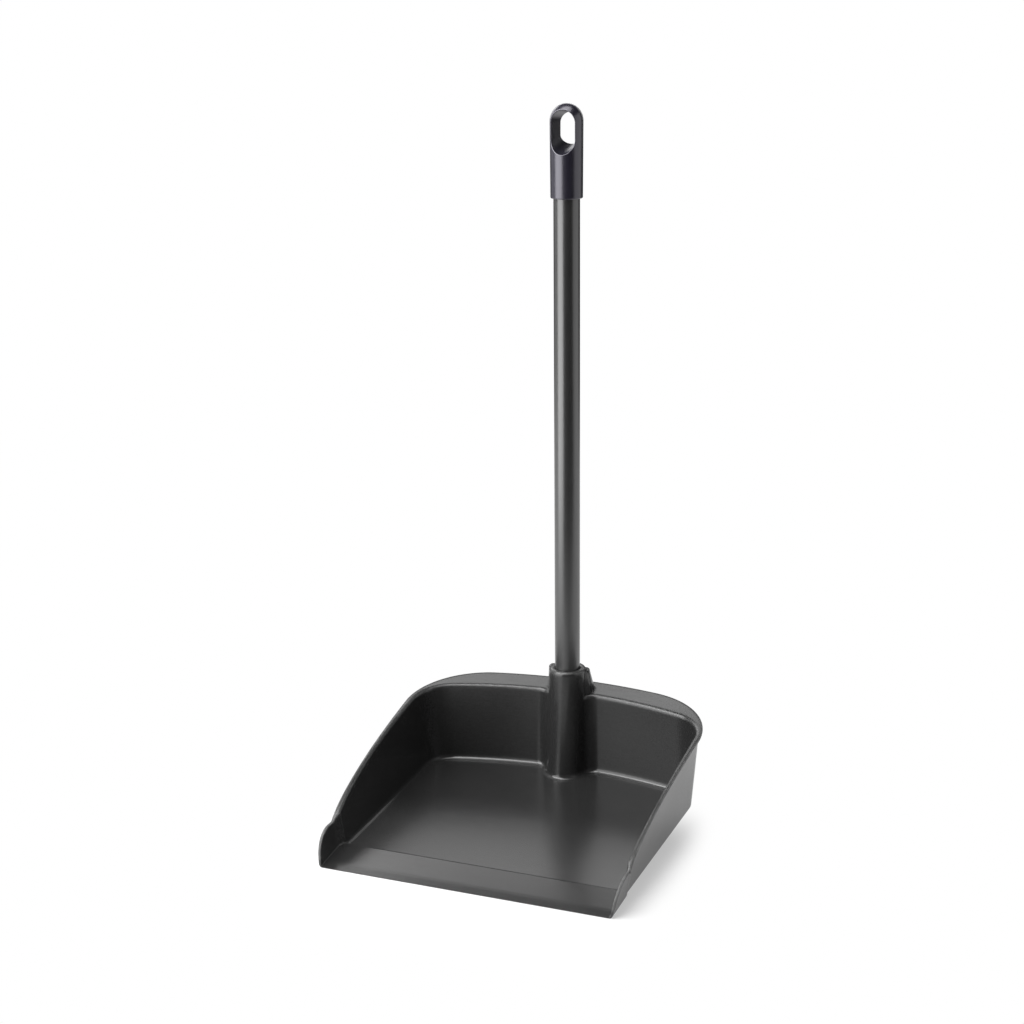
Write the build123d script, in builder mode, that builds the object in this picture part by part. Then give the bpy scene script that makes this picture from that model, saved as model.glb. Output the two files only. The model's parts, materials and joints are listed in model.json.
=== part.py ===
"""Long-handled dustpan: a moulded pan with an upright socket, a tube handle and a hang-up cap.

Millimetres, +X to the right, +Y to the back, +Z up. The pan stands on Z = 0, with the origin
under the middle of its outline.
"""
import os
from math import radians, sqrt, tan

from build123d import *

# Handle tube, which sizes its socket and its cap
TUBE_DIAMETER = 25.0
TUBE_WALL = 0.9
TUBE_LENGTH = 605.5
TUBE_RADIUS = TUBE_DIAMETER / 2

# Pan, overall
PAN_DEPTH = 312.0           # front edge to the back of the rim
PAN_WALL = 3.0              # side and rear walls
FLOOR_THICKNESS = 2.4
UPPER_SECTION = 100.0       # height, above the rim, at which the walls have their second section

# Inside of the pan, at floor level
FLOOR_FRONT_HALF = 135.1    # half width at the ridge
FLOOR_REAR_HALF = FLOOR_FRONT_HALF + 4.4    # where the sides would meet the rear wall
SIDE_DRAFT_FRONT = 8.6      # degrees that the sides lean out at the ridge
SIDE_DRAFT_REAR = 5.5       # degrees that the sides lean out at the rear
REAR_DRAFT = 1.0            # degrees that the rear wall leans back
REAR_BOW_RADIUS = 420.0     # rear wall seen from above
FLOOR_CORNER_RADIUS = 32.0
UPPER_CORNER_RADIUS = 42.0
FLOOR_FILLET = 4.5          # floor to wall, inside
BOTTOM_EDGE = 1.4           # outer edge round the floor

# Front ramp
RAMP_LENGTH = 45.0          # front edge to the ridge
RIDGE_HEIGHT = 5.0
RIDGE_ROUND = 1.6           # rounding of the ridge
FRONT_LAND = 10.5           # steeper strip along the front edge
LAND_HEIGHT = 2.1           # rear of that strip
LAND_BEND = 80.0            # radius where it runs into the ramp
FRONT_EDGE = 0.7            # thickness of the front edge
RAMP_SHEET = 2.3            # thickness of the ramp over the hollow under it

# Ears at the two ends of the ramp
EAR_STEP = 3.1              # how far the ears stand out from the side walls
EAR_SLANT = 8.0             # length over which they close in to the side walls
EAR_BEND = 15.0             # radius where they begin to close in
EAR_WALL = 2.1
EAR_RETURN = 2.5            # outer slant behind the inner one
EAR_HEIGHT = 29.2
EAR_RADIUS = 26.0           # rounded upper front corner of an ear
EAR_FRONT_SLOPE = 81.0      # degrees, front edge of an ear above the ground
EAR_FILLET = 1.7            # ramp to ear, inside

# Rim
RIM_PROFILE = (             # distance behind the front edge and height, from the rim's front end
    (35.6, 29.1),
    (78.0, 49.4),
    (0.577 * PAN_DEPTH, 71.9),
    (PAN_DEPTH + 12.0, 89.0),
)
RIM_FRONT_SLOPE = 39.0      # degrees
RIM_REAR_SLOPE = 6.0        # degrees
RIM_FRONT_HALF = FLOOR_FRONT_HALF + 9.8
RIM_REAR_HALF = FLOOR_REAR_HALF + 16.0      # where the sides of the rim would meet its back
RIM_CORNER_RADIUS = 80.0
RIM_BOW_RADIUS = 500.0
RIM_THICKNESS = 2.6
RIM_INNER_FILLET = 2.5
RIM_EDGE = 1.0              # rounding of the outer edge

# Socket column, oval at the foot and round at the top
SOCKET_HEIGHT = 112.6
COLUMN_FOOT_HALF = TUBE_RADIUS + 7.5        # half width
COLUMN_FOOT_FRONT = TUBE_RADIUS + 16.0      # in front of the handle's axis
COLUMN_FOOT_BACK = TUBE_RADIUS + 12.5       # behind it
COLUMN_TOP_RADIUS = TUBE_RADIUS + 5.9
COLUMN_FILLET = 13.0        # column to rear wall
COLLAR_EDGE = 2.6           # rounding of the top
SOCKET_FLOOR = 6.0          # the tube stands on this
FIT_CLEARANCE = 0.05        # tube to socket, on the radius
MOUTH_LEAD_IN = 1.4
HANDLE_SETBACK = COLUMN_FOOT_BACK + 7.0     # back of the rim to the handle's axis
REAR_WALL_SETBACK = 2.0     # rear wall behind the handle's axis, at the floor

# Shoulder behind the collar, which widens down to the rim
SHOULDER_BASE = RIM_PROFILE[-1][1] - 6.5    # within the thickness of the rim
SHOULDER_TOP = SOCKET_HEIGHT - 1.6
SHOULDER_BASE_HALF = TUBE_RADIUS + 11.4
SHOULDER_BASE_SPAN = (8.0, 24.0)            # from and to, behind the handle's axis
SHOULDER_BASE_CORNER = 8.0
SHOULDER_TOP_HALF = TUBE_RADIUS + 8.4
SHOULDER_TOP_SPAN = (3.5, 10.0)
SHOULDER_TOP_CORNER = 4.0
SHOULDER_EDGE = 1.5

# Hollow under the column
CORE_TOP = 74.0
CORE_SKIN = 3.0
SLEEVE_WALL = 2.6           # round the tube
SOCKET_FLOOR_SHEET = 2.6
CORE_RIB = 2.2              # thickness of the ribs between skin and sleeve

# Hang-up cap
CAP_HEIGHT = 86.7
CAP_SLEEVE = 33.0           # how far the tube goes into the cap
CAP_BOTTOM_RADIUS = TUBE_RADIUS + 2.7
CAP_TOP_RADIUS = TUBE_RADIUS + 3.2
CAP_EDGE = 1.2
SLOT_FRONT_HALF = CAP_TOP_RADIUS - 3.9
SLOT_FRONT_BOTTOM = CAP_SLEEVE + 7.6        # above the bottom of the cap
SLOT_FRONT_TOP = CAP_HEIGHT - 5.2
SLOT_REAR_HALF = CAP_TOP_RADIUS - 6.2
SLOT_REAR_BOTTOM = CAP_SLEEVE + 16.0
SLOT_REAR_TOP = CAP_HEIGHT - 8.7
SLOT_EDGE = 0.6

FRONT_Y = -PAN_DEPTH / 2
REAR_Y = PAN_DEPTH / 2
RIDGE_Y = FRONT_Y + RAMP_LENGTH
RIM_START_Y = FRONT_Y + RIM_PROFILE[0][0]
RIM_START_HEIGHT = RIM_PROFILE[0][1]
RIM_END_Y = FRONT_Y + RIM_PROFILE[-1][0]
RIM_END_HEIGHT = RIM_PROFILE[-1][1]
HANDLE_Y = REAR_Y - HANDLE_SETBACK
REAR_WALL_Y = HANDLE_Y + REAR_WALL_SETBACK
BORE_RADIUS = TUBE_RADIUS + FIT_CLEARANCE
TUBE_TOP = SOCKET_FLOOR + TUBE_LENGTH
CAP_BOTTOM = TUBE_TOP - CAP_SLEEVE
CAP_TOP = CAP_BOTTOM + CAP_HEIGHT
SPAN = 2 * RIM_REAR_HALF    # wider than the whole pan
TOUCH = 0.01                # nearer than this is on a surface
UPWARDS = (Align.CENTER, Align.CENTER, Align.MIN)


def plan_outline(height, front_half, rear_half, front_y, rear_y, bow_radius, corner_radius):
    """Outline seen from above: straight front and sides, a bowed back and rounded rear corners."""
    corner_y = rear_y - bow_radius + sqrt(bow_radius**2 - rear_half**2)
    with BuildSketch(Plane.XY.offset(height)) as outline:
        with BuildLine():
            ThreePointArc((rear_half, corner_y), (0, rear_y), (-rear_half, corner_y))
            Polyline(
                (-rear_half, corner_y),
                (-front_half, front_y),
                (front_half, front_y),
                (rear_half, corner_y),
            )
        make_face()
        fillet(outline.vertices().group_by(Axis.Y)[-1], corner_radius)
    return outline.sketch


def ridge_half(height):
    """Half width between the side walls at the ridge, at a height."""
    return FLOOR_FRONT_HALF + (height - FLOOR_THICKNESS) * tan(radians(SIDE_DRAFT_FRONT))


def wall_section(height, thickness):
    """Section through the pan's walls at a height, grown outwards by a thickness."""
    rise = height - FLOOR_THICKNESS
    share = rise / (UPPER_SECTION - FLOOR_THICKNESS)
    corner = FLOOR_CORNER_RADIUS + share * (UPPER_CORNER_RADIUS - FLOOR_CORNER_RADIUS)
    return plan_outline(
        height,
        ridge_half(height) + thickness,
        FLOOR_REAR_HALF + rise * tan(radians(SIDE_DRAFT_REAR)) + thickness,
        RIDGE_Y,
        REAR_WALL_Y + rise * tan(radians(REAR_DRAFT)) + thickness,
        REAR_BOW_RADIUS + thickness,
        corner + thickness,
    )


def ear_section(height, ear_growth, wall_growth, rear_y):
    """Outline between the ears at a height, closing in to the side walls at its rear."""
    ear_half = ridge_half(height) + EAR_STEP + ear_growth
    wall_half = ridge_half(height) + wall_growth
    with BuildSketch(Plane.XY.offset(height)) as section:
        Polygon(
            (-ear_half, FRONT_Y),
            (ear_half, FRONT_Y),
            (ear_half, rear_y - EAR_SLANT),
            (wall_half, rear_y),
            (-wall_half, rear_y),
            (-ear_half, rear_y - EAR_SLANT),
            align=None,
        )
    return section.sketch


def column_section(height, inset):
    """Section through the socket column: oval at the foot, round at the height of the collar."""
    share = height / SOCKET_HEIGHT
    half_width = COLUMN_FOOT_HALF + share * (COLUMN_TOP_RADIUS - COLUMN_FOOT_HALF) - inset
    front = COLUMN_FOOT_FRONT + share * (COLUMN_TOP_RADIUS - COLUMN_FOOT_FRONT) - inset
    back = COLUMN_FOOT_BACK + share * (COLUMN_TOP_RADIUS - COLUMN_FOOT_BACK) - inset
    middle = (0, HANDLE_Y + (back - front) / 2)
    half_depth = (front + back) / 2
    with BuildSketch(Plane.XY.offset(height)) as section:
        with BuildLine():
            EllipticalCenterArc(middle, half_width, half_depth, start_angle=45, arc_size=90)
            EllipticalCenterArc(middle, half_width, half_depth, start_angle=135, arc_size=270)
        make_face()
    return section.sketch


def shoulder_section(height, half_width, span, corner):
    """Section through the shoulder behind the collar, with rounded rear corners."""
    front, rear = span
    with BuildSketch(Plane.XY.offset(height)) as section:
        with Locations((0, HANDLE_Y + (front + rear) / 2)):
            Rectangle(2 * half_width, rear - front)
        fillet(section.vertices().group_by(Axis.Y)[-1], corner)
    return section.sketch


def rim_curve(drop):
    """Rim seen from the side, lowered by a drop."""
    return Spline(
        *((FRONT_Y + distance, height - drop) for distance, height in RIM_PROFILE),
        tangents=[(1, tan(radians(RIM_FRONT_SLOPE))), (1, tan(radians(RIM_REAR_SLOPE)))],
    )


def slot_section(y, half_width, bottom, top):
    """Slot of the cap seen from the front: upright, with round ends."""
    with BuildSketch(Plane.XZ.offset(-y)) as section:
        with Locations((0, CAP_BOTTOM + (bottom + top) / 2)):
            SlotOverall(top - bottom, 2 * half_width, rotation=90)
    return section.sketch


# Side view of all but the column: floor, rim, ear and front edge
with BuildSketch(Plane.YZ.offset(-SPAN / 2)) as side_view:
    with BuildLine():
        rim_curve(0)
        Polyline((RIM_END_Y, RIM_END_HEIGHT), (RIM_END_Y, 0), (FRONT_Y, 0), (FRONT_Y, FRONT_EDGE))
        FilletPolyline(
            (FRONT_Y, FRONT_EDGE),
            (FRONT_Y + EAR_HEIGHT / tan(radians(EAR_FRONT_SLOPE)), EAR_HEIGHT),
            (RIM_START_Y, RIM_START_HEIGHT),
            radius=EAR_RADIUS,
        )
    make_face()

# Socket column, solid, carried up past the collar and past the walls
with BuildPart() as tall_column:
    loft(sections=[column_section(0, 0), column_section(SOCKET_HEIGHT + UPPER_SECTION, 0)])

# Socket column with its collar
with BuildPart() as column:
    add(tall_column.part)
    split(bisect_by=Plane.XY.offset(SOCKET_HEIGHT), keep=Keep.BOTTOM)
    fillet(column.faces().sort_by(Axis.Z)[-1].edges(), COLLAR_EDGE)

# Shoulder behind the collar
with BuildPart() as shoulder:
    loft(
        sections=[
            shoulder_section(SHOULDER_BASE, SHOULDER_BASE_HALF, SHOULDER_BASE_SPAN, SHOULDER_BASE_CORNER),
            shoulder_section(SHOULDER_TOP, SHOULDER_TOP_HALF, SHOULDER_TOP_SPAN, SHOULDER_TOP_CORNER),
        ]
    )
    fillet(shoulder.faces().sort_by(Axis.Z)[-1].edges(), SHOULDER_EDGE)

# Space inside the pan, which stops short of the column
with BuildPart() as cavity:
    loft(sections=[wall_section(FLOOR_THICKNESS, 0), wall_section(UPPER_SECTION, 0)])
    add(tall_column.part, mode=Mode.SUBTRACT)
    uprights = cavity.edges().filter_by(Plane.XY, reverse=True)
    near_column = uprights.filter_by_position(Axis.X, -COLUMN_FOOT_HALF, COLUMN_FOOT_HALF)
    fillet(near_column.group_by(Axis.Y)[-1], COLUMN_FILLET)
    floor_edges = cavity.faces().sort_by(Axis.Z)[0].edges().sort_by(Axis.Y)
    fillet(floor_edges[1:], FLOOR_FILLET)

# Space above the ramp, between the ears
ramp_slope = (RIDGE_HEIGHT - LAND_HEIGHT) / (RAMP_LENGTH - FRONT_LAND)
ridge_drop = RIDGE_ROUND * (ramp_slope + sqrt(1 + ramp_slope**2))
ridge_run = ridge_drop / sqrt(1 + ramp_slope**2)
with BuildPart() as mouth:
    loft(sections=[ear_section(0, 0, 0, RIDGE_Y), ear_section(UPPER_SECTION, 0, 0, RIDGE_Y)])
    uprights = mouth.edges().filter_by(Plane.XY, reverse=True)
    fillet(uprights.group_by(Axis.Y)[1], EAR_BEND)
    with BuildSketch(Plane.YZ.offset(-SPAN / 2)):
        with BuildLine():
            FilletPolyline(
                (FRONT_Y, FRONT_EDGE),
                (FRONT_Y + FRONT_LAND, LAND_HEIGHT),
                (RIDGE_Y - ridge_run, RIDGE_HEIGHT - ridge_run * ramp_slope),
                radius=LAND_BEND,
            )
            RadiusArc(
                (RIDGE_Y - ridge_run, RIDGE_HEIGHT - ridge_run * ramp_slope),
                (RIDGE_Y, RIDGE_HEIGHT - ridge_drop),
                RIDGE_ROUND,
            )
            Polyline(
                (RIDGE_Y, RIDGE_HEIGHT - ridge_drop),
                (RIDGE_Y, UPPER_SECTION),
                (FRONT_Y, UPPER_SECTION),
                (FRONT_Y, FRONT_EDGE),
            )
        make_face()
    extrude(amount=SPAN, mode=Mode.INTERSECT)
    low_edges = mouth.edges().filter_by(lambda edge: edge.center().Z < RIDGE_HEIGHT)
    fillet(low_edges.filter_by(Axis.X, reverse=True), EAR_FILLET)

# Outward rim
with BuildPart() as rim:
    with BuildSketch(Plane.YZ.offset(-SPAN / 2)):
        with BuildLine():
            upper = rim_curve(0)
            lower = rim_curve(RIM_THICKNESS)
            Line(upper @ 0, lower @ 0)
            Line(upper @ 1, lower @ 1)
        make_face()
    extrude(amount=SPAN)
    rim_outline = plan_outline(
        0, RIM_FRONT_HALF, RIM_REAR_HALF, RIM_START_Y, REAR_Y, RIM_BOW_RADIUS, RIM_CORNER_RADIUS
    )
    extrude(rim_outline, amount=UPPER_SECTION, mode=Mode.INTERSECT)
    broad_faces = rim.faces().sort_by(SortBy.AREA)[-2:]
    outer_edges = ShapeList(edge for face in broad_faces for edge in face.edges().sort_by(Axis.Y)[1:])
    fillet(outer_edges, RIM_EDGE)

# Front of the pan with its ears, solid
with BuildPart() as front:
    front_end = RIDGE_Y + EAR_RETURN
    loft(
        sections=[
            ear_section(0, EAR_WALL, PAN_WALL, front_end),
            ear_section(UPPER_SECTION, EAR_WALL, PAN_WALL, front_end),
        ]
    )
    bottom_edges = front.faces().sort_by(Axis.Z)[0].edges()
    fillet(bottom_edges.filter_by(Axis.X, reverse=True), EAR_FILLET + EAR_WALL)

# Hollow under the ramp, open at the sides
hollow_rear = RIDGE_Y - RAMP_SHEET
hollow_height = RIDGE_HEIGHT - RAMP_SHEET * (1 + ramp_slope)
with BuildPart() as ramp_hollow:
    with BuildSketch(Plane.YZ.offset(-SPAN / 2)):
        Polygon(
            (hollow_rear - hollow_height / ramp_slope, 0),
            (hollow_rear, 0),
            (hollow_rear, hollow_height),
            align=None,
        )
    extrude(amount=SPAN)

# Hollow under the column, round a sleeve for the tube, with ribs from the sleeve to the skin
with BuildPart() as core:
    loft(sections=[column_section(0, CORE_SKIN), column_section(CORE_TOP, CORE_SKIN)])
    rib_length = 2 * COLUMN_FOOT_FRONT
    with Locations((0, HANDLE_Y, 0)):
        Cylinder(BORE_RADIUS + SLEEVE_WALL, CORE_TOP, align=UPWARDS, mode=Mode.SUBTRACT)
        Box(rib_length, CORE_RIB, CORE_TOP, align=UPWARDS, mode=Mode.SUBTRACT)
        Box(CORE_RIB, rib_length, CORE_TOP, align=UPWARDS, mode=Mode.SUBTRACT)
        Cylinder(BORE_RADIUS, SOCKET_FLOOR - SOCKET_FLOOR_SHEET, align=UPWARDS)

# Pan moulding
with BuildPart() as pan:
    loft(sections=[wall_section(0, PAN_WALL), wall_section(UPPER_SECTION, PAN_WALL)])
    bottom_edges = pan.faces().sort_by(Axis.Z)[0].edges().sort_by(Axis.Y)
    fillet(bottom_edges[1:], BOTTOM_EDGE)
    add(front.part)
    extrude(side_view.sketch, amount=SPAN, mode=Mode.INTERSECT)
    add(rim.part)
    add(cavity.part, mode=Mode.SUBTRACT)
    add(mouth.part, mode=Mode.SUBTRACT)
    high_edges = pan.edges().filter_by(lambda edge: edge.bounding_box().min.Z > RIM_START_HEIGHT)
    fillet(
        high_edges.filter_by(lambda edge: cavity.part.distance_to(edge @ 0.5) < TOUCH),
        RIM_INNER_FILLET,
    )
    add(column.part)
    add(shoulder.part)
    add(ramp_hollow.part, mode=Mode.SUBTRACT)
    add(core.part, mode=Mode.SUBTRACT)
    with Locations((0, HANDLE_Y, SOCKET_HEIGHT)):
        Hole(BORE_RADIUS, depth=SOCKET_HEIGHT - SOCKET_FLOOR)
    collar_face = pan.faces().filter_by(Plane.XY).sort_by(Axis.Z)[-1]
    fillet(collar_face.inner_wires()[0].edges(), MOUTH_LEAD_IN)

# Handle tube, standing on the floor of its socket
with BuildPart() as handle_tube:
    with BuildSketch(Plane.XY.offset(SOCKET_FLOOR)):
        with Locations((0, HANDLE_Y)):
            Circle(TUBE_RADIUS)
            Circle(TUBE_RADIUS - TUBE_WALL, mode=Mode.SUBTRACT)
    extrude(amount=TUBE_LENGTH)

# Slot through the cap, narrower at the back
with BuildPart() as slot:
    loft(
        sections=[
            slot_section(HANDLE_Y - CAP_TOP_RADIUS, SLOT_FRONT_HALF, SLOT_FRONT_BOTTOM, SLOT_FRONT_TOP),
            slot_section(HANDLE_Y + CAP_TOP_RADIUS, SLOT_REAR_HALF, SLOT_REAR_BOTTOM, SLOT_REAR_TOP),
        ]
    )

# Hang-up cap
dome_height = CAP_TOP - CAP_TOP_RADIUS
with BuildPart() as hang_cap:
    with BuildSketch(Plane.XZ.offset(-HANDLE_Y)):
        with BuildLine():
            Polyline(
                (0, CAP_TOP),
                (0, CAP_BOTTOM),
                (CAP_BOTTOM_RADIUS, CAP_BOTTOM),
                (CAP_TOP_RADIUS, dome_height),
            )
            RadiusArc((CAP_TOP_RADIUS, dome_height), (0, CAP_TOP), -CAP_TOP_RADIUS)
        make_face()
    revolve(axis=Axis((0, HANDLE_Y, 0), (0, 0, 1)))
    fillet(hang_cap.edges().group_by(Axis.Z)[0], CAP_EDGE)
    add(slot.part, mode=Mode.SUBTRACT)
    new_edges = hang_cap.edges(Select.LAST).filter_by(GeomType.CIRCLE, reverse=True)
    fillet(new_edges.filter_by(lambda edge: edge.bounding_box().size.Y < CAP_TOP_RADIUS), SLOT_EDGE)
    with Locations((0, HANDLE_Y, CAP_BOTTOM)):
        Cylinder(TUBE_RADIUS, CAP_SLEEVE, align=UPWARDS, mode=Mode.SUBTRACT)

os.makedirs("parts", exist_ok=True)
pan.part.label = "pan"
handle_tube.part.label = "handle_tube"
hang_cap.part.label = "hang_cap"
export_step(pan.part, "parts/pan.step")
export_step(handle_tube.part, "parts/handle_tube.step")
export_step(hang_cap.part, "parts/hang_cap.step")
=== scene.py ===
"""Finishes, shoulder webs, studio and camera of the long-handled dustpan.

Metres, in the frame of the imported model: +X to the right, +Y to the back, +Z up.
"""
import json
import logging
import math
from collections.abc import Sequence
from dataclasses import dataclass, replace
from enum import Enum
from typing import Any

import bpy
from mathutils import Matrix, Vector

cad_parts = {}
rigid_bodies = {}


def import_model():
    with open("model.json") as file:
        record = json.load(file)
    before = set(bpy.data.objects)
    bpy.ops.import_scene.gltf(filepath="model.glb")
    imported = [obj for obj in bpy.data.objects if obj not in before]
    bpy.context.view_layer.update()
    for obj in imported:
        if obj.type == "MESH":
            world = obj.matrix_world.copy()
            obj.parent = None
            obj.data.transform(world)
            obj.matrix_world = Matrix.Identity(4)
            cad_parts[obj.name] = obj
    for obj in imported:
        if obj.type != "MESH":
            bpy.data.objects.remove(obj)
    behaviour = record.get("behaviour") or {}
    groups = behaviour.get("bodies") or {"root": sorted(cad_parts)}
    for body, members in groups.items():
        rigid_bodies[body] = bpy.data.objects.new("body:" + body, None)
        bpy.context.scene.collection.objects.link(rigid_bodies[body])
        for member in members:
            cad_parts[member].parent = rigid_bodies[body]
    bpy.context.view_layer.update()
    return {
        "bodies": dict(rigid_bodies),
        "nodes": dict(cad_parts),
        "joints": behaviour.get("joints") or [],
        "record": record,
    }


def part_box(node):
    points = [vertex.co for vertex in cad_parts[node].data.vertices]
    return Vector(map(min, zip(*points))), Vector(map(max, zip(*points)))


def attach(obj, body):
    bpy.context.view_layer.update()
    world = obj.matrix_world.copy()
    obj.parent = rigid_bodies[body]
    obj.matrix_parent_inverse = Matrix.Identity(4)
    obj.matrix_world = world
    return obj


LOG = logging.getLogger("dustpan")
MILLIMETRE = 0.001

Colour = tuple[float, float, float]
Socket = bpy.types.NodeSocket
WHITE: Colour = (1.0, 1.0, 1.0)

# Numbers of the shared effects
NOISE_MIDDLE = 0.5
NOISE_SPAN = (0.3, 0.7)         # where most of a noise's values lie
SPECKLE_SPAN = (0.35, 0.65)     # noise of the darkest and of the lightest specks
CELL_SCALE = 0.31               # scale of the grain's cells, as a share of the grain's own
CELL_HEIGHT = 0.45              # how much the cells add to the grain's height
EDGE_OPENNESS = (0.98, 0.80)    # openness, seen inwards, where the painted edge highlight and rubbing start and where they are full
EDGE_SAMPLES = 8                # rays that feel for an edge
LEAST_HIGHLIGHT_AND_RUBBING = 0.5              # painted edge highlight and rubbing between its patches


class Node(Enum):
    """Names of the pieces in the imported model."""

    PAN = "pan"
    TUBE = "handle_tube"
    CAP = "hang_cap"


class Side(Enum):
    """Sides of the handle, by their direction along X."""

    RIGHT = 1
    LEFT = -1


class Effect(Enum):
    """Names of the shared shader effects."""

    MOTTLE = "flow_mottle"
    GRAIN = "moulded_grain"
    STREAK = "long_streaks"
    # pale outward edges: a painted highlight, with some rubbing
    EDGE_HIGHLIGHT_AND_WEAR = "edge_wear"


def opaque(colour: Colour) -> tuple[float, float, float, float]:
    """A colour with full alpha."""
    return (*colour, 1.0)


class Wiring:
    """Adds and links nodes in one node tree."""

    NUMBER_RESULTS = ("LENGTH", "DOT_PRODUCT")      # vector operations that give a number

    def __init__(self, tree: bpy.types.NodeTree) -> None:
        """Starts on an empty tree.

        Args:
            tree: The node tree to fill. Its old nodes are removed.
        """
        self.tree = tree
        self.tree.nodes.clear()

    def add(self, kind: str, settings: dict[str, Any] | None = None, **inputs: Any) -> bpy.types.Node:
        """Adds a node.

        Args:
            kind: The node's type name.
            settings: Values for the node's own properties.
            inputs: A value or an output socket for each input, with _ for a space in its name.

        Returns:
            The new node.
        """
        node = self.tree.nodes.new(kind)
        for name, value in (settings or {}).items():
            setattr(node, name, value)
        for name, value in inputs.items():
            self.feed(node, name.replace("_", " "), value)
        return node

    def feed(self, node: bpy.types.Node, name: str | int, value: Any) -> None:
        """Links an output socket to an input, or sets the input's value.

        Args:
            node: The node that has the input.
            name: The input's name or place.
            value: An output socket or a plain value.
        """
        if isinstance(value, Socket):
            self.tree.links.new(value, node.inputs[name])
        else:
            node.inputs[name].default_value = value

    def fill(self, node: bpy.types.Node, values: Sequence[Any]) -> None:
        """Feeds a node's inputs in order.

        Args:
            node: The node that has the inputs.
            values: An output socket or a plain value for each.
        """
        for place, value in enumerate(values):
            self.feed(node, place, value)

    def math(self, operation: str, *values: Any, clamp: bool = False) -> Socket:
        """Adds a math node.

        Args:
            operation: The operation's name.
            values: Its inputs in order.
            clamp: Whether the result stays between 0 and 1.

        Returns:
            The result's socket.
        """
        node = self.add("ShaderNodeMath", {"operation": operation, "use_clamp": clamp})
        self.fill(node, values)
        return node.outputs["Value"]

    def vector(self, operation: str, *values: Any) -> Socket:
        """Adds a vector math node.

        Args:
            operation: The operation's name.
            values: Its inputs in order.

        Returns:
            The result's socket, which is a number for a length or a dot product.
        """
        node = self.add("ShaderNodeVectorMath", {"operation": operation})
        self.fill(node, values)
        return node.outputs["Value" if operation in self.NUMBER_RESULTS else "Vector"]

    def ramp(self, value: Socket, low: float, high: float, start: float = 0.0, end: float = 1.0) -> Socket:
        """Carries a value smoothly from one span to another.

        Args:
            value: The value's socket.
            low: Value at which the result is start.
            high: Value at which the result is end.
            start: First result.
            end: Last result.

        Returns:
            The result's socket.
        """
        node = self.add("ShaderNodeMapRange", {"interpolation_type": "SMOOTHSTEP"})
        self.fill(node, (value, low, high, start, end))
        return node.outputs["Result"]

    def noise(self, point: Socket, scale: Any, detail: float, roughness: float) -> Socket:
        """Adds a noise texture.

        Args:
            point: Where it is read.
            scale: How fine its pattern is, as a number or a socket.
            detail: How many finer layers it has.
            roughness: How strong those are.

        Returns:
            The noise's socket.
        """
        node = self.add("ShaderNodeTexNoise", Vector=point, Scale=scale, Detail=detail, Roughness=roughness)
        return node.outputs["Fac"]

    def blend(self, share: float, first: Socket, second: Socket) -> Socket:
        """Mixes two numbers.

        Args:
            share: How much of the second number counts.
            first: The first number's socket.
            second: The second number's socket.

        Returns:
            The mixed number's socket.
        """
        rest = self.math("MULTIPLY", first, 1 - share)
        return self.math("MULTIPLY_ADD", second, share, rest)

    def mix(self, share: Socket, first: Any, second: Any) -> Socket:
        """Mixes two colours.

        Args:
            share: How much of the second colour shows.
            first: A colour or its socket.
            second: A colour or its socket.

        Returns:
            The mixed colour's socket.
        """
        node = self.add("ShaderNodeMix", {"data_type": "RGBA"}, Factor=share, A=first, B=second)
        return node.outputs["Result"]

    def mix_shaders(self, share: Socket, first: Socket, second: Socket) -> Socket:
        """Mixes two shaders.

        Args:
            share: How much of the second shader shows.
            first: The first shader's socket.
            second: The second shader's socket.

        Returns:
            The mixed shader's socket.
        """
        node = self.add("ShaderNodeMixShader")
        self.fill(node, (share, first, second))
        return node.outputs["Shader"]


def new_group(effect: Effect, inputs: dict[str, Any], outputs: tuple[str, ...]) -> bpy.types.NodeTree:
    """Makes an empty shader node group that works on a point.

    Args:
        effect: The group's name.
        inputs: Names and default values of its numbers and vectors.
        outputs: Names of the values that it puts out.

    Returns:
        The group.
    """
    group = bpy.data.node_groups.new(effect.value, "ShaderNodeTree")
    group.interface.new_socket("Point", in_out="INPUT", socket_type="NodeSocketVector")
    for name, value in inputs.items():
        kind = "NodeSocketVector" if isinstance(value, tuple) else "NodeSocketFloat"
        group.interface.new_socket(name, in_out="INPUT", socket_type=kind).default_value = value
    for name in outputs:
        group.interface.new_socket(name, in_out="OUTPUT", socket_type="NodeSocketFloat")
    return group


def build_mottle() -> bpy.types.NodeTree:
    """Makes soft clouds, as left by plastic or paint as it flows and sets.

    Returns:
        The group, whose cloud goes from 0 to 1.
    """
    group = new_group(Effect.MOTTLE, {"Scale": 20.0, "Contrast": 1.0}, ("Cloud",))
    wires = Wiring(group)
    given = wires.add("NodeGroupInput").outputs
    broad = wires.noise(given["Point"], given["Scale"], detail=3.0, roughness=0.5)
    centred = wires.math("SUBTRACT", broad, NOISE_MIDDLE)
    stretched = wires.math("MULTIPLY_ADD", centred, given["Contrast"], NOISE_MIDDLE, clamp=True)
    wires.add("NodeGroupOutput", Cloud=stretched)
    return group


def build_grain() -> bpy.types.NodeTree:
    """Makes the fine even grain of a mould's or a coating's surface.

    Returns:
        The group, with the grain's height and its specks from 0 to 1.
    """
    group = new_group(Effect.GRAIN, {"Scale": 900.0}, ("Height", "Speckle"))
    wires = Wiring(group)
    given = wires.add("NodeGroupInput").outputs
    fine = wires.noise(given["Point"], given["Scale"], detail=2.0, roughness=0.6)
    cells = wires.add(
        "ShaderNodeTexVoronoi",
        {"feature": "SMOOTH_F1"},
        Vector=given["Point"],
        Scale=wires.math("MULTIPLY", given["Scale"], CELL_SCALE),
        Smoothness=0.8,
    )
    height = wires.math("MULTIPLY_ADD", cells.outputs["Distance"], CELL_HEIGHT, fine)
    wires.add("NodeGroupOutput", Height=height, Speckle=wires.ramp(fine, *SPECKLE_SPAN))
    return group


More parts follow.
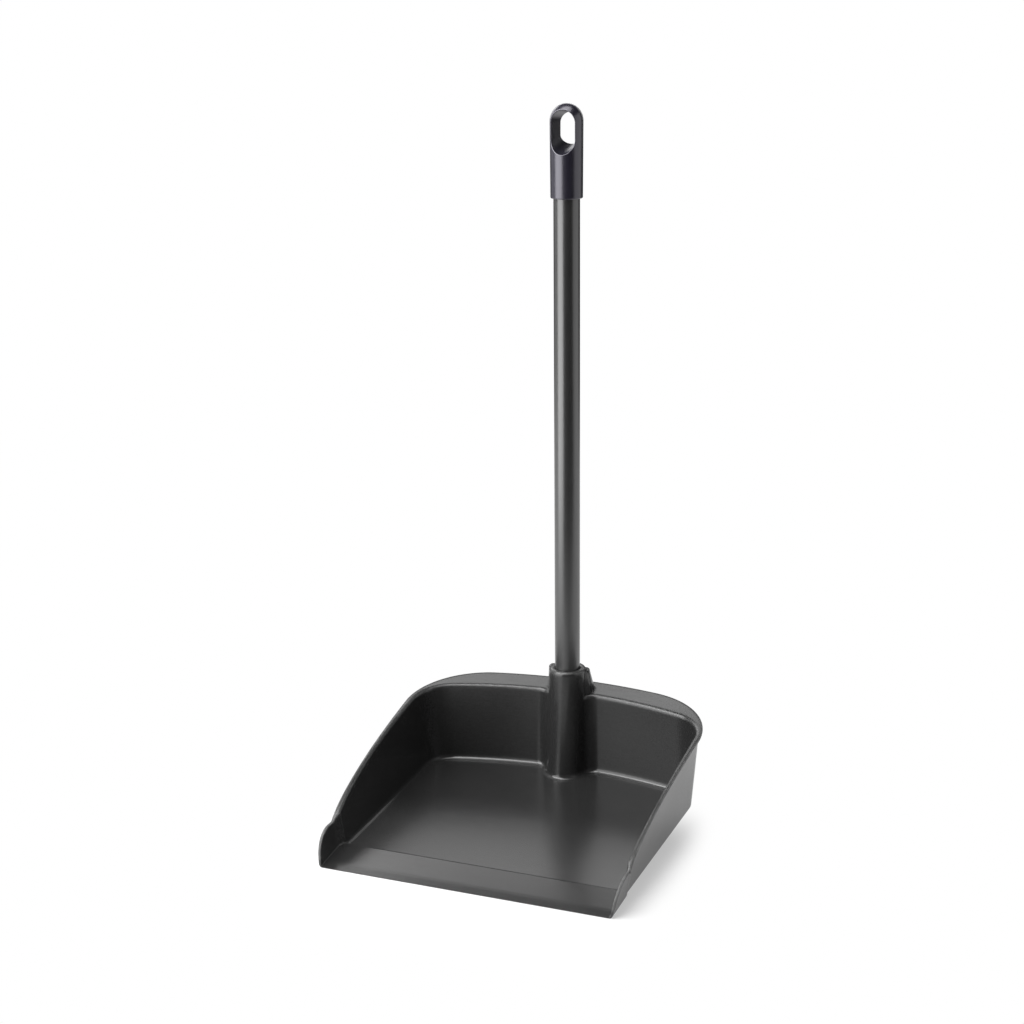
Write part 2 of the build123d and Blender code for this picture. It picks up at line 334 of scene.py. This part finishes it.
def build_streak() -> bpy.types.NodeTree:
    """Makes fine streaks that are drawn out along one direction.

    Returns:
        The group, whose streaks go from 0 to 1.
    """
    group = new_group(Effect.STREAK, {"Stretch": (50.0, 900.0, 900.0)}, ("Streak",))
    wires = Wiring(group)
    given = wires.add("NodeGroupInput").outputs
    drawn = wires.vector("MULTIPLY", given["Point"], given["Stretch"])
    lines = wires.noise(drawn, 1.0, detail=3.0, roughness=0.6)
    wires.add("NodeGroupOutput", Streak=wires.ramp(lines, *NOISE_SPAN))
    return group


def build_highlight_and_wear() -> bpy.types.NodeTree:
    """Makes the pale outward edges, a painted highlight with some rubbing, which is broken into patches.

    Returns:
        The group, whose painted highlight and rubbing go from 0 to 1.
    """
    group = new_group(Effect.EDGE_HIGHLIGHT_AND_WEAR, {"Reach": 1.5 * MILLIMETRE, "Scale": 120.0}, ("Worn",))
    wires = Wiring(group)
    given = wires.add("NodeGroupInput").outputs
    # outward edges, found from inward occlusion, get the painted highlight and rubbing
    inward = wires.add(
        "ShaderNodeAmbientOcclusion",
        {"inside": True, "only_local": True, "samples": EDGE_SAMPLES},
        Distance=given["Reach"],
    )
    near_edge = wires.ramp(inward.outputs["AO"], *EDGE_OPENNESS)
    patches = wires.noise(given["Point"], given["Scale"], detail=4.0, roughness=0.6)
    highlight_and_rubbing = wires.ramp(patches, *NOISE_SPAN, start=LEAST_HIGHLIGHT_AND_RUBBING)
    wires.add("NodeGroupOutput", Worn=wires.math("MULTIPLY", near_edge, highlight_and_rubbing))
    return group


@dataclass(frozen=True)
class Crest:
    """The worn crest of a ridge that runs across a piece: its top turns down to its back."""

    back: float         # y of the ridge's back
    width: float        # how much of the top turns down
    drop: float         # by how much
    top: float          # the ridge's height

    def fall(self, wires: Wiring, point: Socket) -> Socket:
        """How far the crest has turned down.

        Args:
            wires: The material's wiring.
            point: Where on the piece it is read.

        Returns:
            A value from 0 to 1, which is 0 again on the floor behind the ridge and on the walls.
        """
        axes = wires.add("ShaderNodeSeparateXYZ", Vector=point).outputs
        turned = wires.ramp(axes["Y"], self.back - self.width, self.back)
        off_floor = wires.ramp(axes["Y"], self.back + self.width / 2, self.back + self.width, 1.0, 0.0)
        off_walls = wires.ramp(axes["Z"], self.top, 2 * self.top, 1.0, 0.0)
        return wires.math("MULTIPLY", wires.math("MULTIPLY", turned, off_floor), off_walls)


@dataclass(frozen=True)
class Finish:
    """A plastic or painted surface.

    Its tone and gloss drift in clouds and streaks, and it has a fine grain and pale edges, a painted
    highlight with some rubbing.
    """

    name: str
    dark: Colour
    light: Colour
    highlight_and_rubbing: Colour                      # outward edges: painted highlight, with some rubbing
    roughness: float
    roughness_spread: float
    cloud_scale: float
    grain_scale: float
    grain_depth: float
    streak: tuple[float, float, float]  # streaks per metre along each axis
    highlight_and_wear_reach: float                   # how far from an edge the painted highlight and rubbing reach
    ior: float
    shine: Colour = WHITE               # tint of the reflections
    soft_edge: float = 0.0              # radius that edges seem rounded to
    thin_below: float = 0.0             # height of the thin lip, whose edges stay crisp, without the painted edge highlight and rubbing
    crest: Crest | None = None
    cloud_contrast: float = 1.6
    streak_share: float = 0.4           # of the drift, whose rest is clouds
    speckle_share: float = 0.4          # of the tone, whose rest is drift
    gloss_span: tuple[float, float] = (0.2, 0.8)    # drift where the surface is smoothest and roughest

    def material(self) -> bpy.types.Material:
        """Builds the finish as a node material.

        Returns:
            The material.
        """
        made = bpy.data.materials.new(self.name)
        made.use_nodes = True
        wires = Wiring(made.node_tree)
        point = wires.add("ShaderNodeTexCoord").outputs["Object"]
        grain = self.place(wires, Effect.GRAIN, point, Scale=self.grain_scale).outputs
        drift = self.drift(wires, point)
        thick = self.above_lip(wires, point)
        smoothest = self.roughness - self.roughness_spread
        roughest = self.roughness + self.roughness_spread
        tone = wires.blend(self.speckle_share, drift, grain["Speckle"])
        shader = wires.add(
            "ShaderNodeBsdfPrincipled",
            Base_Color=self.colour(wires, point, tone, thick),
            Roughness=wires.ramp(drift, *self.gloss_span, smoothest, roughest),
            IOR=self.ior,
            Specular_Tint=opaque(self.shine),
            Normal=self.normal(wires, point, grain["Height"], thick),
        )
        wires.add("ShaderNodeOutputMaterial", Surface=shader.outputs["BSDF"])
        return made

    def drift(self, wires: Wiring, point: Socket) -> Socket:
        """Slow change over the surface: clouds with streaks in them.

        Args:
            wires: The material's wiring.
            point: Where on the piece it is read.

        Returns:
            A value from 0 to 1.
        """
        look = {"Scale": self.cloud_scale, "Contrast": self.cloud_contrast}
        cloud = self.place(wires, Effect.MOTTLE, point, **look).outputs["Cloud"]
        streak = self.place(wires, Effect.STREAK, point, Stretch=self.streak).outputs["Streak"]
        return wires.blend(self.streak_share, cloud, streak)

    def above_lip(self, wires: Wiring, point: Socket) -> Socket:
        """Tells the thin lip from the rest.

        Args:
            wires: The material's wiring.
            point: Where on the piece it is read.

        Returns:
            A value that rises from 0 on the lip to 1 above it.
        """
        height = wires.add("ShaderNodeSeparateXYZ", Vector=point).outputs["Z"]
        return wires.ramp(height, self.thin_below / 2, self.thin_below)

    def colour(self, wires: Wiring, point: Socket, tone: Socket, thick: Socket) -> Socket:
        """The surface's colour, with a painted highlight and rubbing along its edges.

        Args:
            wires: The material's wiring.
            point: Where on the piece it is read.
            tone: How light the surface is, from 0 to 1.
            thick: 0 on the thin lip and 1 above it.

        Returns:
            The colour's socket.
        """
        body = wires.mix(tone, opaque(self.dark), opaque(self.light))
        # painted highlight and rubbing along outward edges, kept off the thin lip
        highlight_and_wear_mask = self.place(wires, Effect.EDGE_HIGHLIGHT_AND_WEAR, point, Reach=self.highlight_and_wear_reach).outputs["Worn"]
        highlight_and_wear_share = wires.math("MULTIPLY", highlight_and_wear_mask, thick)
        return wires.mix(highlight_and_wear_share, body, opaque(self.highlight_and_rubbing))

    def normal(self, wires: Wiring, point: Socket, grain: Socket, thick: Socket) -> Socket:
        """The surface's normal, with its grain, its crest and its rounded edges.

        Args:
            wires: The material's wiring.
            point: Where on the piece it is read.
            grain: The grain's height, as a share of its depth.
            thick: 0 on the thin lip and 1 above it.

        Returns:
            The normal's socket.
        """
        height = wires.math("MULTIPLY", grain, self.grain_depth)
        if self.crest:
            fall = self.crest.fall(wires, point)
            height = wires.math("MULTIPLY_ADD", fall, -self.crest.drop, height)
        bump = wires.add("ShaderNodeBump", Strength=1.0, Distance=1.0, Height=height)
        if self.soft_edge:
            radius = wires.math("MULTIPLY", thick, self.soft_edge)
            rounded = wires.add("ShaderNodeBevel", {"samples": EDGE_SAMPLES}, Radius=radius)
            wires.feed(bump, "Normal", rounded.outputs["Normal"])
        return bump.outputs["Normal"]

    @staticmethod
    def place(wires: Wiring, effect: Effect, point: Socket, **inputs: Any) -> bpy.types.Node:
        """Places a shared effect in a material.

        Args:
            wires: The material's wiring.
            effect: Which effect.
            point: Where on the piece it is read.
            inputs: The effect's numbers.

        Returns:
            The group node.
        """
        tree = bpy.data.node_groups[effect.value]
        return wires.add("ShaderNodeGroup", {"node_tree": tree}, Point=point, **inputs)


RIDGE_CREST = Crest(
    back=-111.0 * MILLIMETRE,
    width=2.6 * MILLIMETRE,
    drop=0.6 * MILLIMETRE,
    top=5.0 * MILLIMETRE,
)
PAN_PLASTIC = Finish(
    name="pan_plastic",
    dark=(0.017, 0.017, 0.017),
    light=(0.026, 0.026, 0.026),
    # edges painted much paler than the plastic: a painted highlight, with some rubbing
    highlight_and_rubbing=(0.18, 0.18, 0.18),
    roughness=0.245,
    roughness_spread=0.02,
    cloud_scale=14.0,
    grain_scale=800.0,
    grain_depth=0.012 * MILLIMETRE,
    streak=(40.0, 700.0, 700.0),
    highlight_and_wear_reach=1.6 * MILLIMETRE,
    ior=1.58,
    soft_edge=5.0 * MILLIMETRE,
    thin_below=9.0 * MILLIMETRE,
    crest=RIDGE_CREST,
)
# the webs' edges keep the plastic's light tone, with no painted edge highlight
WEB_PLASTIC = replace(PAN_PLASTIC, name="web_plastic", highlight_and_rubbing=PAN_PLASTIC.light, crest=None)
TUBE_COATING = Finish(
    name="tube_coating",
    dark=(0.0155, 0.0155, 0.0155),
    light=(0.0185, 0.0185, 0.0185),
    # edges a little paler: a painted highlight, with some rubbing
    highlight_and_rubbing=(0.03, 0.03, 0.03),
    roughness=0.30,
    roughness_spread=0.02,
    cloud_scale=30.0,
    grain_scale=700.0,
    grain_depth=0.003 * MILLIMETRE,
    streak=(900.0, 900.0, 12.0),
    highlight_and_wear_reach=0.5 * MILLIMETRE,
    ior=2.0,
)
CAP_PLASTIC = Finish(
    name="cap_plastic",
    dark=(0.0075, 0.0068, 0.0125),
    light=(0.0105, 0.0096, 0.017),
    # edges painted paler: a painted highlight, with some rubbing
    highlight_and_rubbing=(0.10, 0.10, 0.105),
    roughness=0.30,
    roughness_spread=0.02,
    cloud_scale=60.0,
    grain_scale=1200.0,
    grain_depth=0.008 * MILLIMETRE,
    streak=(900.0, 900.0, 60.0),
    highlight_and_wear_reach=1.2 * MILLIMETRE,
    ior=1.9,
    shine=(0.94, 0.92, 1.0),
)


@dataclass(frozen=True)
class Moulding:
    """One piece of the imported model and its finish."""

    node: Node
    finish: Finish

    def dress(self, frame: dict[str, Any]) -> None:
        """Puts the finish on the piece.

        Args:
            frame: The loaded frame.
        """
        piece = frame["nodes"][self.node.value]
        piece.data.materials.clear()
        piece.data.materials.append(self.finish.material())
        LOG.info("%s: %s, %d faces", piece.name, self.finish.name, len(piece.data.polygons))


@dataclass(frozen=True)
class ShoulderWeb:
    """Web that fills the notch between the side of the collar and the shoulder behind it.

    Its corners on the collar and on the shoulder are given out and back from the handle's axis.
    """

    finish: Finish = WEB_PLASTIC
    bottom: float = 83.0 * MILLIMETRE       # within the rim
    top: float = 109.6 * MILLIMETRE
    depth: float = 5.0 * MILLIMETRE         # how far it reaches into the collar
    edge: float = 1.2 * MILLIMETRE          # rounding of its top
    edge_steps: int = 3
    smooth_angle: float = 40.0              # degrees, over which an edge shows
    collar_foot: tuple[float, float] = (18.5 * MILLIMETRE, -3.0 * MILLIMETRE)
    collar_head: tuple[float, float] = (18.1 * MILLIMETRE, -3.0 * MILLIMETRE)
    shoulder_foot: tuple[float, float] = (23.95 * MILLIMETRE, 8.2 * MILLIMETRE)
    shoulder_head: tuple[float, float] = (21.15 * MILLIMETRE, 4.0 * MILLIMETRE)

    def corner(self, outer: bool, rear: bool, high: bool) -> Vector:
        """Place of one corner of the right-hand web.

        Args:
            outer: Whether it is on the outer face.
            rear: Whether it is on the shoulder and not on the collar.
            high: Whether it is at the top.

        Returns:
            The corner, from the foot of the handle's axis.
        """
        feet = (self.collar_foot, self.shoulder_foot)
        heads = (self.collar_head, self.shoulder_head)
        out, back = (heads if high else feet)[rear]
        return Vector((out if outer else out - self.depth, back, self.top if high else self.bottom))

    def round_top(self, web: bpy.types.Object) -> None:
        """Rounds the edges of the web's top.

        Args:
            web: The web's object, which is the active one.
        """
        middle = (self.bottom + self.top) / 2
        for edge in web.data.edges:
            edge.select = all(web.data.vertices[index].co.z > middle for index in edge.vertices)
        bpy.ops.object.mode_set(mode="EDIT")
        bpy.ops.mesh.bevel(offset=self.edge, segments=self.edge_steps)
        bpy.ops.object.mode_set(mode="OBJECT")
        bpy.ops.object.shade_smooth_by_angle(angle=math.radians(self.smooth_angle))

    def build(self, side: Side, handle: Vector) -> None:
        """Makes the web on one side.

        Args:
            side: The side of the handle.
            handle: Foot of the handle's axis.
        """
        bpy.ops.object.select_all(action="DESELECT")
        bpy.ops.mesh.primitive_cube_add(size=1.0)
        web = bpy.context.object
        web.name = f"shoulder_web_{side.name.lower()}"
        for vertex in web.data.vertices:
            place = self.corner(*(share > 0 for share in vertex.co))
            vertex.co = handle + Vector((side.value * place.x, place.y, place.z))
        bpy.ops.object.mode_set(mode="EDIT")
        bpy.ops.mesh.select_all(action="SELECT")
        bpy.ops.mesh.normals_make_consistent(inside=False)
        bpy.ops.mesh.select_all(action="DESELECT")
        bpy.ops.object.mode_set(mode="OBJECT")
        self.round_top(web)
        web.data.materials.append(self.finish.material())
        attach(web, Node.PAN.value)
        LOG.info("%s: %s, %d faces", web.name, self.finish.name, len(web.data.polygons))


@dataclass(frozen=True)
class Softbox:
    """A rectangular studio light that faces the dustpan."""

    name: str
    size: tuple[float, float]   # width and height
    radiance: float
    bearing: float              # degrees round the handle, from the camera's side, positive to its right
    distance: float             # from the handle's axis
    height: float
    aim: float                  # height of the point on the handle's axis that it faces

    def build(self, handle: Vector, camera_side: Vector) -> None:
        """Makes the light.

        Args:
            handle: Foot of the handle's axis.
            camera_side: Level direction from there to the camera.
        """
        light = bpy.data.lights.new(self.name, "AREA")
        light.shape = "RECTANGLE"
        light.size, light.size_y = self.size
        light.energy = self.radiance * math.pi * math.prod(self.size)
        lamp = bpy.data.objects.new(self.name, light)
        bpy.context.scene.collection.objects.link(lamp)
        side = Matrix.Rotation(math.radians(self.bearing), 3, "Z") @ camera_side
        place = handle + side * self.distance + Vector((0, 0, self.height))
        facing = handle + Vector((0, 0, self.aim)) - place
        lamp.matrix_world = Matrix.Translation(place) @ facing.to_track_quat("-Z", "Y").to_matrix().to_4x4()
        lamp.visible_camera = False
        LOG.info("light %s", self.name)


@dataclass
class PhotoCamera:
    """The photograph's camera, given by where it stands from the handle."""

    frame_pixels: float = 1024.0
    focal_pixels: float = 1808.45
    sensor: float = 36.0        # millimetres
    yaw: float = 21.43          # degrees to the right of straight in front
    pitch: float = 15.76        # degrees below level
    roll: float = -0.59         # degrees
    distance: float = 1.70455   # on the ground, in the viewing direction
    side: float = 0.05408       # to the left of the handle
    height: float = 0.75558

    def level(self) -> Vector:
        """Level direction in which the camera looks."""
        turn = math.radians(self.yaw)
        return Vector((-math.sin(turn), math.cos(turn), 0.0))

    def build(self, handle: Vector) -> None:
        """Makes the camera and gives it to the scene.

        Args:
            handle: Foot of the handle's axis.
        """
        tilt = math.radians(self.pitch)
        level = self.level()
        right = Vector((level.y, -level.x, 0.0))
        forward = level * math.cos(tilt) - Vector((0, 0, math.sin(tilt)))
        turned = Matrix.Rotation(math.radians(self.roll), 3, -forward)
        across = turned @ right
        upright = turned @ right.cross(forward)
        data = bpy.data.cameras.new("photo_camera")
        data.sensor_width = self.sensor
        data.lens = self.focal_pixels / self.frame_pixels * self.sensor
        camera = bpy.data.objects.new("photo_camera", data)
        bpy.context.scene.collection.objects.link(camera)
        place = handle - level * self.distance - right * self.side + Vector((0, 0, self.height))
        axes = Matrix((across, upright, -forward)).transposed()
        camera.matrix_world = Matrix.Translation(place) @ axes.to_4x4()
        bpy.context.scene.camera = camera
        LOG.info("camera at %s", tuple(round(x, 3) for x in place))


@dataclass
class Studio:
    """Pale floor, white surroundings and soft lights."""

    floor_radius: float = 2.2
    floor_sides: int = 96
    floor_fade: float = 1.2         # where the floor begins to melt into the background
    floor_colour: Colour = (0.80, 0.80, 0.80)
    floor_glow: float = 0.42        # share of plain white in the floor's look, beside the pan
    glow_rise: tuple[float, float] = (0.050, 0.13)  # distances to the side and to the rear where it is whole
    foot_inset: float = 0.012       # how far the walls' feet stand inside the rim
    shade_rear: float = -0.02       # where the floor beside the pan starts to brighten towards the rear
    mirrored_glow: float = 0.70     # what the share rises to in what the object mirrors
    sheet_end: tuple[float, float] = (0.40, 0.60)   # before the handle, where the white sheet fades out
    bare_colour: Colour = (0.06, 0.06, 0.06)        # floor beyond the sheet
    room: float = 0.03              # brightness of the room that the object sees
    softboxes: tuple[Softbox, ...] = (
        Softbox(
            "left_softbox", size=(0.85, 1.2), radiance=3.5,
            bearing=-62.0, distance=0.85, height=0.62, aim=0.62,
        ),
        Softbox(
            "left_fill", size=(0.7, 1.3), radiance=0.6,
            bearing=-118.0, distance=1.20, height=0.70, aim=0.70,
        ),
        Softbox(
            "right_fill", size=(1.6, 1.3), radiance=0.75,
            bearing=85.0, distance=1.20, height=0.70, aim=0.70,
        ),
        Softbox(
            "top_left_softbox", size=(0.66, 0.66), radiance=7.0,
            bearing=-45.0, distance=0.62, height=1.35, aim=0.1,
        ),
        Softbox(
            "high_left_softbox", size=(0.6, 0.6), radiance=7.8,
            bearing=-85.0, distance=0.92, height=1.25, aim=0.1,
        ),
        Softbox(
            "top_softbox", size=(0.7, 0.7), radiance=3.4,
            bearing=0.0, distance=0.05, height=1.55, aim=0.1,
        ),
        Softbox(
            "backdrop_middle", size=(1.3, 0.44), radiance=0.85,
            bearing=-175.0, distance=1.60, height=0.75, aim=0.75,
        ),
        Softbox(
            "backdrop_high", size=(1.3, 0.45), radiance=2.0,
            bearing=-175.0, distance=1.60, height=1.20, aim=1.20,
        ),
        Softbox(
            "backdrop_right", size=(0.5, 0.8), radiance=1.2,
            bearing=149.0, distance=1.60, height=0.95, aim=0.8,
        ),
        Softbox(
            "backdrop_left", size=(0.8, 1.0), radiance=1.6,
            bearing=-150.0, distance=1.60, height=1.10, aim=0.8,
        ),
    )

    def away_from_pan(self, wires: Wiring, point: Socket, pan_corner: Vector) -> Socket:
        """How far the floor has brightened away from the pan's front part.

        Args:
            wires: The floor's wiring.
            point: Where on the floor it is read.
            pan_corner: Left front corner of the pan's box, whose middle is over the origin.

        Returns:
            A value that rises from 0 beside the pan to 1.
        """
        shade_middle = Vector((0.0, (self.shade_rear + pan_corner.y) / 2, 0.0))
        shade_half = Vector((-pan_corner.x - self.foot_inset, (self.shade_rear - pan_corner.y) / 2, 0.0))
        from_middle = wires.vector("ABSOLUTE", wires.vector("SUBTRACT", point, shade_middle))
        beside = wires.vector("MAXIMUM", wires.vector("SUBTRACT", from_middle, shade_half), Vector())
        shares = wires.vector("DIVIDE", beside, Vector((*self.glow_rise, 1.0)))
        return wires.ramp(wires.vector("LENGTH", shares), 0.0, 1.0)

    def glow(self, wires: Wiring, away: Socket, bare: Socket) -> Socket:
        """Share of plain white in the floor's look.

        Args:
            wires: The floor's wiring.
            away: How far the floor has brightened away from the pan.
            bare: 0 on the white sheet and 1 beyond it.

        Returns:
            The share, to the camera or in what the object mirrors, and 0 for other light.
        """
        path = wires.add("ShaderNodeLightPath").outputs
        seen_share = wires.ramp(wires.math("MAXIMUM", bare, away), 0.0, 1.0, self.floor_glow, 1.0)
        seen = wires.math("MULTIPLY", path["Is Camera Ray"], seen_share)
        mirrored_share = wires.ramp(away, 0.0, 1.0, self.floor_glow, self.mirrored_glow)
        mirror_ray = wires.math("MAXIMUM", path["Is Glossy Ray"], path["Is Transmission Ray"])
        sheet = wires.math("SUBTRACT", 1.0, bare)
        mirrored = wires.math("MULTIPLY", wires.math("MULTIPLY", mirror_ray, sheet), mirrored_share)
        return wires.math("MAXIMUM", seen, mirrored)

    def floor_paper(self, handle: Vector, behind: Vector, pan_corner: Vector) -> bpy.types.Material:
        """Builds the floor's material: a white sheet round the dustpan, which fades into the background.

        Args:
            handle: Foot of the handle's axis.
            behind: Level direction in which the camera looks.
            pan_corner: Left front corner of the pan's box, whose middle is over the origin.

        Returns:
            The material.
        """
        made = bpy.data.materials.new("floor_paper")
        made.use_nodes = True
        wires = Wiring(made.node_tree)
        point = wires.add("ShaderNodeTexCoord").outputs["Object"]
        before_handle = wires.math("ADD", wires.vector("DOT_PRODUCT", point, -behind), behind.dot(handle))
        bare = wires.ramp(before_handle, *self.sheet_end)
        tone = wires.mix(bare, opaque(self.floor_colour), opaque(self.bare_colour))
        paper = wires.add("ShaderNodeBsdfDiffuse", Color=tone).outputs["BSDF"]
        white = wires.add("ShaderNodeEmission", Strength=1.0).outputs["Emission"]
        away = self.away_from_pan(wires, point, pan_corner)
        lit = wires.mix_shaders(self.glow(wires, away, bare), paper, white)
        clear = wires.add("ShaderNodeBsdfTransparent").outputs["BSDF"]
        fade = wires.ramp(wires.vector("LENGTH", point), self.floor_fade, self.floor_radius)
        wires.add("ShaderNodeOutputMaterial", Surface=wires.mix_shaders(fade, lit, clear))
        return made

    def build_floor(self, paper: bpy.types.Material) -> None:
        """Lays the floor.

        Args:
            paper: The floor's material.
        """
        bpy.ops.object.select_all(action="DESELECT")
        bpy.ops.mesh.primitive_circle_add(
            vertices=self.floor_sides, radius=self.floor_radius, fill_type="NGON"
        )
        floor = bpy.context.object
        floor.name = "floor"
        floor.data.materials.append(paper)
        LOG.info("%s: %s", floor.name, paper.name)

    def build_world(self) -> None:
        """Makes the surroundings: white to the camera, and a dim room to the object."""
        world = bpy.data.worlds.new("studio")
        world.use_nodes = True
        bpy.context.scene.world = world
        wires = Wiring(world.node_tree)
        seen = wires.add("ShaderNodeLightPath").outputs["Is Camera Ray"]
        strength = wires.math("MAXIMUM", seen, self.room)
        light = wires.add("ShaderNodeBackground", Color=opaque(WHITE), Strength=strength)
        wires.add("ShaderNodeOutputWorld", Surface=light.outputs["Background"])

    def build(self, handle: Vector, behind: Vector, pan_corner: Vector) -> None:
        """Builds the floor, the surroundings and the lights.

        Args:
            handle: Foot of the handle's axis.
            behind: Level direction in which the camera looks.
            pan_corner: Left front corner of the pan's box.
        """
        self.build_floor(self.floor_paper(handle, behind, pan_corner))
        self.build_world()
        for softbox in self.softboxes:
            softbox.build(handle, -behind)


@dataclass
class Dustpan:
    """The whole object: its pan with the shoulder's webs, and its handle."""

    pieces: tuple[Moulding, ...] = (
        Moulding(Node.PAN, PAN_PLASTIC),
        Moulding(Node.TUBE, TUBE_COATING),
        Moulding(Node.CAP, CAP_PLASTIC),
    )
    web: ShoulderWeb = ShoulderWeb()

    def dress(self, frame: dict[str, Any]) -> None:
        """Puts the finishes on all pieces and adds the webs.

        Args:
            frame: The loaded frame.
        """
        for build_effect in (build_mottle, build_grain, build_streak, build_highlight_and_wear):
            build_effect()
        for piece in self.pieces:
            piece.dress(frame)
        handle = self.handle_foot()
        for side in Side:
            self.web.build(side, handle)

    @staticmethod
    def handle_foot() -> Vector:
        """Point on the ground under the handle's axis."""
        low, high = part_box(Node.TUBE.value)
        return Vector(((low.x + high.x) / 2, (low.y + high.y) / 2, 0.0))


def main() -> None:
    """Dresses the dustpan and builds its studio and camera."""
    logging.basicConfig(level=logging.INFO, format="%(message)s")
    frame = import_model()
    bpy.context.scene.view_settings.view_transform = "Standard"
    dustpan = Dustpan()
    dustpan.dress(frame)
    handle = dustpan.handle_foot()
    camera = PhotoCamera()
    camera.build(handle)
    pan_corner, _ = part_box(Node.PAN.value)
    Studio().build(handle, camera.level(), pan_corner)


if __name__ == "__main__":
    main()
